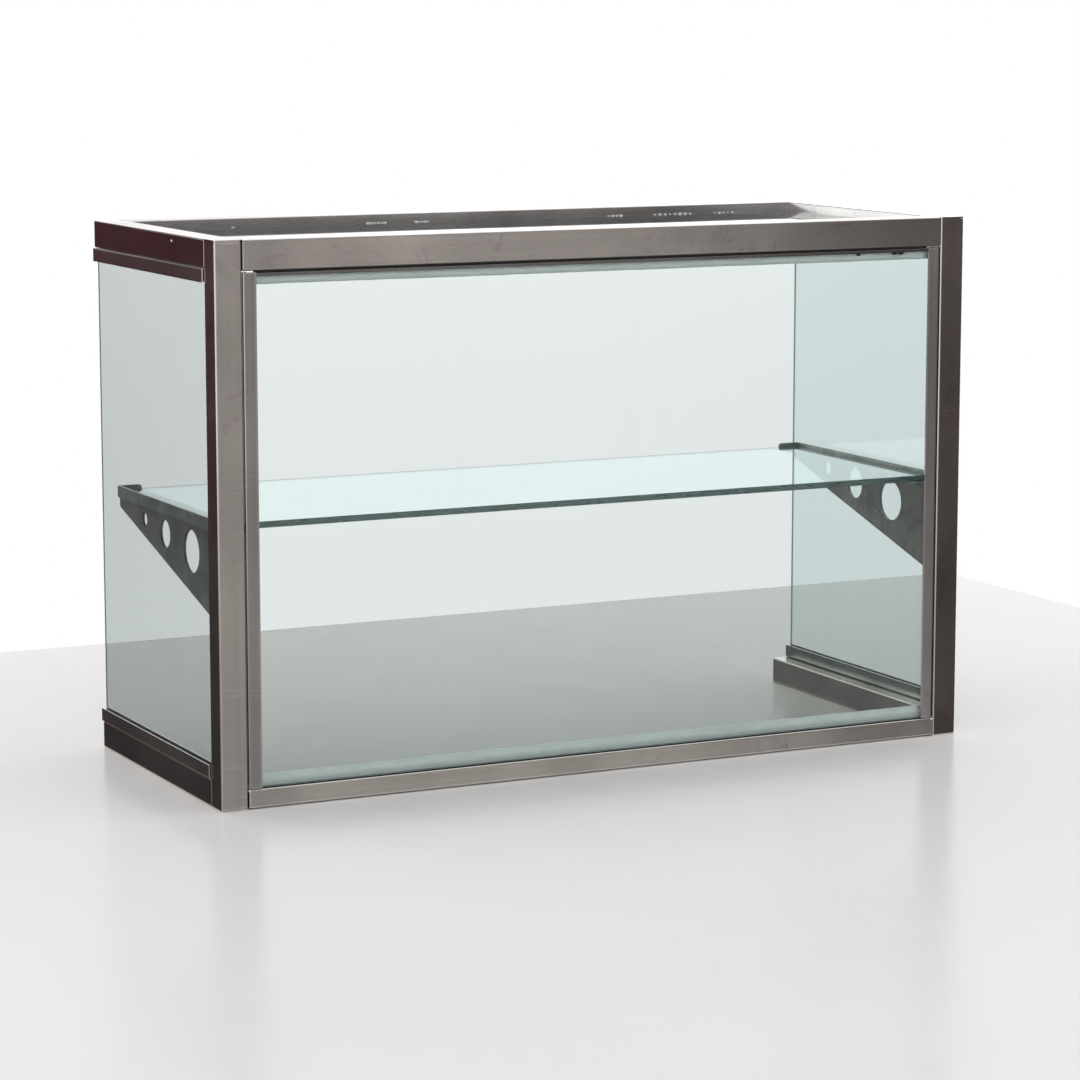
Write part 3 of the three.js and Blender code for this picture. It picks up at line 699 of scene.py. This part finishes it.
def dark_steel(name, tone):
    """Hot-rolled bracket steel: darker and duller, with mill blotches."""
    material, s = new_material(name)
    where = s.place()
    mill = s.noise(where, *MILL_BLOTCHES)
    grit = s.noise(where, *MILL_GRIT)
    hair = s.math("MULTIPLY", scratches(s, where, *BRACKET_SCRATCHES), BRACKET_SCRATCH_SHARE)
    body = s.mix(s.remap(mill, *NOISE_CORE), *shades(tone, MILL_SHADES))
    height = s.weighed((mill, MILL_HEIGHT), (grit, MILL_GRIT_HEIGHT))
    s.finish(s.principled({
        "Base Color": s.mix(hair, body, shade(tone, BRACKET_SCRATCH_SHADE)),
        "Metallic": BRACKET_METALLIC,
        "Roughness": s.remap(mill, *NOISE_CORE, *MILL_ROUGHNESS),
        "Normal": s.bump(height, *BRACKET_RELIEF),
    }))
    return material


def weld_steel():
    """Weld metal with a brown and blue heat tint in patches."""
    material, s = new_material("weld_metal")
    where = s.place()
    grit = s.noise(where, *WELD_GRIT)
    s.finish(s.principled({
        "Base Color": s.ramp(s.noise(where, *WELD_HEAT), WELD_TINTS),
        "Metallic": WELD_METALLIC,
        "Roughness": s.remap(grit, *NOISE_CORE, *WELD_ROUGHNESS),
        "Normal": s.bump(grit, *WELD_RELIEF),
    }))
    return material


def pane_glass(name, facing):
    """Clear float glass with a green body, ground edges, faint smears and dust.

    facing is the axis that the pane's two large faces look along."""
    material, s = new_material(name)
    where = s.place()
    smear = s.drawn_out(where, Z if facing != Z else X, *SMEARS)
    dust = s.noise(where, *DUST)
    film = s.math("MULTIPLY", s.remap(smear, *FILMED_ABOVE), FILM_SHARE)
    specks = s.math("MULTIPLY", s.remap(dust, *DUSTY_ABOVE), DUST_SHARE)
    clear = s.principled({
        "Base Color": (1.0, 1.0, 1.0, 1.0),
        "Roughness": s.remap(smear, *ROUGHENED_ABOVE, *SMEARED_ROUGHNESS),
        "IOR": GLASS_IOR,
        "Transmission Weight": 1.0,
    })
    dusty = s.add("BsdfDiffuse", {"Color": (*FILM_TONE, 1.0)}).outputs[0]
    face = s.mix_surfaces(s.math("ADD", film, specks, clamp=True), clear, dusty)

    grinding = s.noise(s.stretch(where, GRINDING_STRETCH), *GRINDING)
    ground = s.principled({
        "Base Color": s.mix(grinding, *GROUND_TONES),
        "Roughness": s.remap(grinding, *NOISE_CORE, *GROUND_ROUGHNESS),
        "IOR": GROUND_IOR,
        "Transmission Weight": GROUND_CLEARNESS,
        "Normal": s.bump(grinding, *GROUND_RELIEF),
    })
    normal = s.parts(s.add("NewGeometry").outputs["Normal"])[facing]
    flat = s.remap(s.math("ABSOLUTE", normal), *FACE_SQUARENESS)
    slab = s.mix_surfaces(flat, ground, face)
    through = s.add("BsdfTransparent", {"Color": (*PANE_SHADOW, 1.0)}).outputs[0]
    shadow = s.add("LightPath").outputs["Is Shadow Ray"]
    body = s.add("VolumeAbsorption", {
        "Color": (*GLASS_PASSES, 1.0),
        "Density": GLASS_DENSITY,
    })
    s.finish(s.mix_surfaces(shadow, slab, through), body.outputs[0])
    return material


def sealant(name, clearness):
    """Translucent silicone, streaked along its run and uneven in how clear it is; its near-white
    colours are brighter than silicone, as painted light.
    """
    material, s = new_material(name)
    where = s.place()
    streaks = s.noise(s.stretch(where, SEALANT_STRETCH), *SEALANT_STREAKS)
    patches = s.noise(where, *SEALANT_PATCHES)
    patched = s.remap(patches, *SEALANT_PATCHED_ABOVE, 0.0, SEALANT_PATCH_SHARE)
    body = s.mix(s.remap(streaks, *SEALANT_STREAKED), SEALANT_BRIGHTENED_CLEAR, SEALANT_BRIGHTENED_CLOUDY)
    s.finish(s.principled({
        "Base Color": s.mix(patched, body, shade(SEALANT_BRIGHTENED_CLEAR, SEALANT_PATCH_SHADE)),
        "Roughness": s.remap(streaks, *NOISE_CORE, *SEALANT_ROUGHNESS),
        "IOR": SEALANT_IOR,
        "Transmission Weight": s.remap(patches, *NOISE_CORE, 0.0, clearness),
        "Normal": s.bump(streaks, *SEALANT_RELIEF),
    }))
    return material


# White sealant for the old specks, and for the painted glints at the front base joints.
def dried_sealant_and_glint():
    material, s = new_material("dried_sealant_and_glint")
    crust = s.noise(s.place(), *DRIED_CRUST)
    s.finish(s.principled({
        "Base Color": s.mix(crust, *DRIED_SEALANT_AND_GLINT_TONES),
        "Roughness": s.remap(crust, *NOISE_CORE, *DRIED_ROUGHNESS),
        "Normal": s.bump(crust, *DRIED_RELIEF),
    }))
    return material


def black_rubber():
    material, s = new_material("black_rubber")
    where = s.place()
    bloom = s.noise(where, *RUBBER_BLOOM)
    s.finish(s.principled({
        "Base Color": s.mix(bloom, *RUBBER_TONES),
        "Roughness": s.remap(bloom, *NOISE_CORE, *RUBBER_ROUGHNESS),
        "Normal": s.bump(s.noise(where, *RUBBER_GRIT), *RUBBER_RELIEF),
    }))
    return material


def grey_tape():
    """Foam tape with open cells."""
    material, s = new_material("grey_foam_tape")
    where = s.place()
    cells = s.add("TexVoronoi", {"Vector": where, "Scale": TAPE_CELLS}).outputs[0]
    bloom = s.noise(where, *TAPE_BLOOM)
    s.finish(s.principled({
        "Base Color": s.mix(bloom, *TAPE_TONES),
        "Roughness": s.remap(bloom, *NOISE_CORE, *TAPE_ROUGHNESS),
        "Normal": s.bump(cells, *TAPE_RELIEF),
    }))
    return material


# ---- CAD nodes ----------------------------------------------------------------------------


def dress(name, material, round_by=0.0):
    """A CAD node gets its material, and its sharp edges are eased."""
    node = NODES[name]
    node.data.materials.clear()
    node.data.materials.append(material)
    if round_by:
        weld = node.modifiers.new("weld", "WELD")
        weld.merge_threshold = WELD_WITHIN
        ease = node.modifiers.new("ease", "BEVEL")
        ease.width = round_by
        ease.segments = ROUND_STEPS
        ease.limit_method = "ANGLE"
        ease.angle_limit = ROUND_ABOVE
        ease.use_clamp_overlap = True


def dress_steel(name, tone, grain, roughness=FRAME_GLOSS, smudged=1.0, twist=None):
    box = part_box(name)
    material = steel(name + "_steel", tone, grain, box, roughness, smudged, twist=twist)
    dress(name, material, STEEL_ROUND)


def dress_frame():
    for side, _ in SIDES:
        askew = POST_TWIST if side == "right" else None
        dress_steel(f"post_{side}", FRAME_TONE, Z, smudged=POST_SMUDGES, twist=askew)
        for end in ("foot", "cap"):
            dress_steel(f"post_{end}_{side}", FRAME_TONE, X, twist=askew)
        for level in ("top", "base"):
            darker_channel = (level, side) == ("base", "right")
            channel = DARKER_CHANNEL_TONE if darker_channel else CHANNEL_TONE
            dress_steel(f"{level}_rail_end_{side}", FRAME_TONE, X)
            dress_steel(f"channel_{level}_{side}", channel, Y, RAIL_CHANNEL_GLOSS)
        dress_steel(f"base_rail_{side}", FRAME_TONE, Y, smudged=SIDE_RAIL_SMUDGES)
        strip_twist = STRIP_TWIST if side == "right" else None
        dress_steel(f"channel_front_{side}", STRIP_TONE, Z, FRONT_CHANNEL_GLOSS, STRIP_SMUDGES,
                    strip_twist)
    # Painted shade: the channel under the front top rail is darkened for its recess.
    dress_steel("channel_front_top", RECESS_SHADE_TONE, X, FRONT_CHANNEL_GLOSS)
    dress_steel("top_rail_left", FRAME_TONE, Y, smudged=SIDE_RAIL_SMUDGES)
    # Painted reflection: the right top rail is given a brighter tone.
    dress_steel("top_rail_right", RIGHT_RAIL_HIGHLIGHT_TONE, Y, RIGHT_RAIL_GLOSS, RIGHT_RAIL_SMUDGES, RIGHT_RAIL_LEAN)
    # Painted shade: the rear rail takes a darker tone.
    dress_steel("top_rail_rear", REAR_SHADED_TONE, X)
    dress_steel("top_rail_front", FRAME_TONE, X)
    dress_steel("base_rail_front", FRAME_TONE, X)
    for side, grain in (("left", Y), ("right", Y), ("front", X), ("rear", X)):
        dress_steel(f"top_ledge_{side}", CHANNEL_TONE, grain, LEDGE_GLOSS)


def dress_brackets():
    for part, tone in (("angle", ANGLE_TONE), ("gusset", GUSSET_TONE)):
        dull = dark_steel(f"{part}_steel", tone)
        for side, _ in SIDES:
            dress(f"bracket_{part}_{side}", dull, BRACKET_ROUND)


def dress_glass():
    for name, facing in (("front", Y), ("left", X), ("right", X), ("top", Z), ("shelf", Z)):
        dress(f"glass_{name}", pane_glass(f"{name}_glass", facing), GLASS_ROUND)


def dress_soft_trim():
    rubber = black_rubber()
    for name in NODES:
        if name.startswith("gasket_"):
            dress(name, rubber)
    dress("front_setting_strip", rubber)
    dress("front_packing_strip", rubber)
    dress("top_bedding_tape", grey_tape())
    dress("top_sealant", sealant("top_joint_sealant", TOP_JOINT_CLEARNESS))


# ---- New pieces ---------------------------------------------------------------------------


def add_to_case(name, mesh, material):
    """A smooth piece that belongs to the case."""
    mesh.materials.append(material)
    mesh.polygons.foreach_set("use_smooth", [True] * len(mesh.polygons))
    piece = bpy.data.objects.new(name, mesh)
    bpy.context.scene.collection.objects.link(piece)
    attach(piece, "case")
    return piece


def loft(name, rings, material):
    """A closed tube through rings of equal length, with flat ends."""
    size = len(rings[0])
    verts = [point for ring in rings for point in ring]
    faces = [tuple(reversed(range(size))), tuple(range(len(verts) - size, len(verts)))]
    for row in range(len(rings) - 1):
        for i in range(size):
            j = (i + 1) % size
            a, b = row * size, (row + 1) * size
            faces.append((a + i, a + j, b + j, b + i))
    mesh = bpy.data.meshes.new(name)
    mesh.from_pydata(verts, [], faces)
    shell = bmesh.new()
    shell.from_mesh(mesh)
    bmesh.ops.recalc_face_normals(shell, faces=shell.faces)
    shell.to_mesh(mesh)
    shell.free()
    return add_to_case(name, mesh, material)


def blobs(name, places, material, seed):
    """Small uneven lumps: each place is a centre and three radii."""
    shell = bmesh.new()
    for number, (centre, radii) in enumerate(places):
        made = bmesh.ops.create_icosphere(shell, subdivisions=BLOB_STEPS, radius=1.0)
        for vert in made["verts"]:
            out = vert.co.copy()
            uneven = noise.noise(out * BLOB_UNEVENNESS + Vector((seed, number, 0)))
            swell = 1 + BLOB_SWELL * uneven
            vert.co = Vector(centre) + Vector([out[i] * radii[i] * swell for i in range(3)])
    mesh = bpy.data.meshes.new(name)
    shell.to_mesh(mesh)
    shell.free()
    return add_to_case(name, mesh, material)


def wobble(x, scale, seed):
    """Smooth noise from about -1 to 1 along a line."""
    return noise.noise(Vector((x * scale, seed, 0.3 * seed)))


def waver(x, middle, *waves):
    """A middle value, plus waves along x, each of a size, a scale and a seed."""
    return middle + sum(size * wobble(x, scale, seed) for size, scale, seed in waves)


def base_bead(silicone):
    """The sealant smeared up the pane from the base rail."""
    low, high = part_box("front_seal_base")
    length, width, height = high - low
    count = round(length / BEAD_STEP)
    rings = []
    for row in range(count + 1):
        x = low.x + length * row / count
        rise = height * waver(x, *BASE_RISE)
        foot = width * waver(x, *BASE_FOOT)
        belly = waver(x, *BASE_BELLY)
        outline = [(0, 0), (foot, 0), (foot, BASE_HEEL)]
        for part in SLOPE_PARTS:
            out = foot * (1 - part) ** SLOPE_HOLLOW * (1 + belly * math.sin(math.pi * part))
            out += RIPPLE * wobble(x + part, RIPPLE_SCALE, RIPPLE_SEED + part)
            outline.append((min(max(out, BASE_LIP), width), rise * part))
        outline.append((0, rise))
        rings.append([(x, low.y + y, low.z + z) for y, z in outline])
    bead = loft("seal_bead_base", rings, silicone)
    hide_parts("front_seal_base")


def top_bead(silicone):
    """The thin sealant behind the pane's upper edge, hanging out of its channel."""
    low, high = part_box("front_seal_top")
    length, width, _ = high - low
    count = round(length / BEAD_STEP)
    rings = []
    for row in range(count + 1):
        x = low.x + length * row / count
        thick = width * waver(x, *TOP_THICKNESS)
        bottom = low.z + max(waver(x, *TOP_DRIP), 0.0)
        neck = low.z + TOP_NECK
        outline = [(0, bottom), (TOP_LIP, bottom)]
        outline += [(share * thick, bottom + up) for share, up in TOP_BELLY_LOW]
        outline += [(share * thick, neck + up) for share, up in TOP_BELLY_HIGH]
        outline += [(TOP_ROOT, neck + TOP_NECK_HEIGHT), (TOP_ROOT, high.z), (0, high.z)]
        rings.append([(x, low.y + y, z) for y, z in outline])
    bead = loft("seal_bead_top", rings, silicone)
    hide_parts("front_seal_top")


def seal_front_pane():
    silicone = sealant("streaked_sealant", BEAD_CLEARNESS)
    base_bead(silicone)
    top_bead(silicone)


def sealant_specks(white):
    """Specks of old sealant along the top pane's rear joint."""
    _, pane_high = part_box("glass_top")
    places = []
    for run, (middle, length, number) in enumerate(SPECK_RUNS):
        for i in range(number):
            share = (i + 0.5) / number - 0.5
            size = waver(i, SPECK_SIZE, (SPECK_SIZE_RANGE, SPECK_SIZE_SCALE, run + 0.5))
            centre = (
                middle + share * length,
                pane_high.y - SPECK_INSET - size * SPECK_OVERLAP,
                pane_high.z + size * SPECK_STAND,
            )
            places.append((centre, [size * part for part in SPECK_SHAPE]))
    blobs("sealant_specks", places, white, SPECK_SEED)


def joint_glint_dabs(white):
    """White dabs in the corners where the front base rail meets the posts: painted highlights for
    the glints at these joints.
    """
    low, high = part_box("base_rail_front")
    places = []
    for end, inwards in ((low.x, 1), (high.x, -1)):
        centre = (end + inwards * DAB_INSET.x, low.y + DAB_INSET.y, high.z - DAB_INSET.z)
        places.append((centre, DAB_RADII))
    blobs("joint_glint_dabs", places, white, DAB_SEED)


def recess_lumps():
    """Rubber lumps that stick out of the joint over the front pane."""
    low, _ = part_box("channel_front_top")
    places = [((x, low.y + back, low.z + up), radii) for (x, back, up), radii in RECESS_LUMPS]
    blobs("recess_lumps", places, black_rubber(), LUMP_SEED)


def weld_bead(name, start, end, lean, material):
    """A rippled bead from start to end; lean is the way it bulges."""
    start, end, lean = Vector(start), Vector(end), Vector(lean).normalized()
    run = end - start
    side = run.normalized().cross(lean)
    count = max(WELD_MIN_RINGS, round(run.length / (WELD_PITCH / WELD_RINGS_PER_RIPPLE)))
    rings = []
    for row in range(count + 1):
        share = row / count
        taper = min(1.0, WELD_TAPER * min(share, 1 - share) + WELD_TAPER_START)
        ripple = abs(math.sin(math.pi * share * run.length / WELD_PITCH))
        swell = WELD_RADIUS * taper * (waver(share, *WELD_BODY) + WELD_RIPPLE * ripple)
        middle = start + run * share
        ring = []
        for i in range(WELD_SIDES):
            angle = math.tau * i / WELD_SIDES
            out = side * math.cos(angle) + lean * math.sin(angle) * WELD_FLATNESS
            ring.append(tuple(middle + out * swell))
        rings.append(ring)
    loft(name, rings, material)


def weld_brackets():
    """Fillet welds: each gusset to its angle, and each bracket to the post's back."""
    metal = weld_steel()
    for side, sign in SIDES:
        low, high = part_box(f"bracket_gusset_{side}")
        inner = low.x if sign > 0 else high.x
        top = high.z - GUSSET_WELD_DROP
        from_y, to_y = (low.y + share * (high.y - low.y) for share in GUSSET_WELD)
        weld_bead(f"gusset_weld_{side}", (inner, from_y, top), (inner, to_y, top),
                  (-sign, 0, -1), metal)
        back = low.y + POST_WELD_OUT
        weld_bead(f"post_weld_{side}", (inner, back, low.z + POST_WELD_LOW),
                  (inner, back, high.z - POST_WELD_HIGH), (-sign, 1, 0), metal)


def rail_pin():
    """The small bright rivet head on the left top rail."""
    low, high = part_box("top_rail_left")
    post_low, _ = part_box("post_left")
    metal = steel("pin_steel", PIN_TONE, Z, (low, high), PIN_GLOSS, PIN_SMUDGES, 0.0)
    centre = Vector((low.x, post_low.y + PIN_FROM_FRONT, high.z - PIN_DROP))
    rings = []
    for height, width in PIN_PROFILE:
        ring = []
        for i in range(PIN_SIDES):
            angle = math.tau * i / PIN_SIDES
            ring.append((centre.x - PIN_STAND * height,
                         centre.y + PIN_RADIUS * width * math.cos(angle),
                         centre.z + PIN_RADIUS * width * math.sin(angle)))
        rings.append(ring)
    loft("rail_pin", rings, metal)


aim_camera()
light_studio()
lay_floor()
dress_frame()
dress_brackets()
dress_glass()
dress_soft_trim()
seal_front_pane()
white_sealant_and_glint = dried_sealant_and_glint()
sealant_specks(white_sealant_and_glint)
joint_glint_dabs(white_sealant_and_glint)
recess_lumps()
weld_brackets()
rail_pin()
